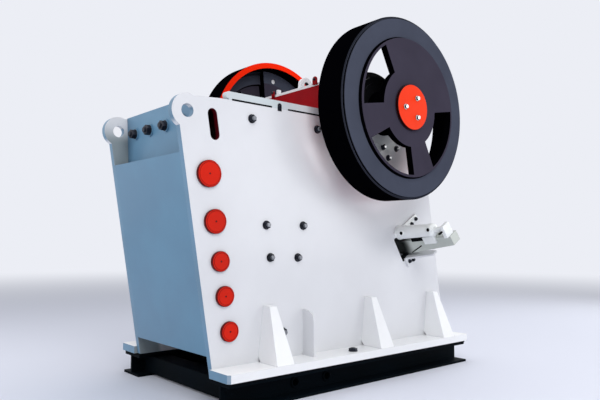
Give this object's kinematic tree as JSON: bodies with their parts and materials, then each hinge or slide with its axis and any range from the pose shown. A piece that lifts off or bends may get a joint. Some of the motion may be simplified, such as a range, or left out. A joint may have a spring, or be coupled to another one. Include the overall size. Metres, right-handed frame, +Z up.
{
  "type": "single-toggle jaw crusher on a skid",
  "caption": "Single-toggle jaw crusher with deep side plates, toothed jaws, an eccentric shaft between windowed flywheels, and a steel skid.",
  "frame": {"origin": "on the floor, at the middle of the bounding box's base", "axes": "+X across the machine to the right flywheel, -Y to the feed end, +Z up"},
  "size_m": [2.8528, 3.792, 3.7298],
  "materials": {
    "white_paint": "gloss white paint on steel plate and castings",
    "blue_grey_paint": "satin blue-grey paint",
    "black_rubber": "matt black",
    "black_paint": "satin black paint",
    "red_paint": "gloss red paint",
    "crimson_casting": "dark crimson paint on cast steel",
    "dark_steel": "dark steel",
    "light_grey_casting": "light grey paint",
    "dark_casting": "dark satin paint",
    "bright_steel": "turned steel",
    "machined_steel": "machined steel",
    "slate_paint": "satin dark slate paint",
    "orange_paint": "gloss orange-red paint"
  },
  "bodies": {
    "frame": {"side_plate_right": "white_paint", "side_plate_left": "white_paint", "rear_casting": "white_paint", "rear_tie_beam": "white_paint", "foot_flange_right": "white_paint", "foot_flange_left": "white_paint", "top_rail_right": "white_paint", "top_rail_left": "white_paint", "front_wall": "blue_grey_paint", "rubber_pad_right": "black_rubber", "rubber_pad_left": "black_rubber", "skid_beam_right": "black_paint", "skid_beam_left": "black_paint", "skid_cross_beams": "black_paint", "skid_lifting_tubes": "black_paint", "pin_covers_right": "red_paint", "pin_covers_left": "red_paint", "fixed_jaw_die": "crimson_casting", "clamp_bar": "crimson_casting", "cheek_plate_upper_right": "crimson_casting", "cheek_plate_upper_left": "crimson_casting", "cheek_plate_lower_right": "crimson_casting", "cheek_plate_lower_left": "crimson_casting", "clamp_studs": "dark_steel", "bearing_base_right": "light_grey_casting", "bearing_base_left": "light_grey_casting", "wedge_cylinder_right": "light_grey_casting", "wedge_cylinder_left": "light_grey_casting", "bearing_cap_right": "dark_casting", "bearing_cap_left": "dark_casting", "main_bearing_right": "bright_steel", "main_bearing_left": "bright_steel", "adjusting_wedge_right": "machined_steel", "adjusting_wedge_left": "machined_steel", "toggle_seat": "machined_steel", "toggle_plate": "machined_steel"},
    "rotor": {"eccentric_shaft": "bright_steel", "flywheel_right": "slate_paint", "flywheel_left": "slate_paint", "hub_cover_right": "orange_paint", "hub_cover_left": "orange_paint"},
    "pitman": {"pitman": "white_paint", "pitman_bearings": "bright_steel", "moving_jaw_die": "crimson_casting", "jaw_wedge": "crimson_casting", "pitman_guard": "crimson_casting", "tension_rods": "bright_steel"}
  },
  "joints": [
    {"name": "shaft_spin", "type": "hinge", "parent": "frame", "child": "rotor", "pos_m": [0, 0.524, 2.784], "axis": [1, 0, 0], "continuous": true},
    {"name": "pitman_swing", "type": "hinge", "parent": "rotor", "child": "pitman", "pos_m": [0, 0.51597, 2.76789], "axis": [1, 0, 0], "continuous": true}
  ],
  "couplings": [
    {"joint": "pitman_swing", "follows": "shaft_spin", "ratio": -1}
  ]
}
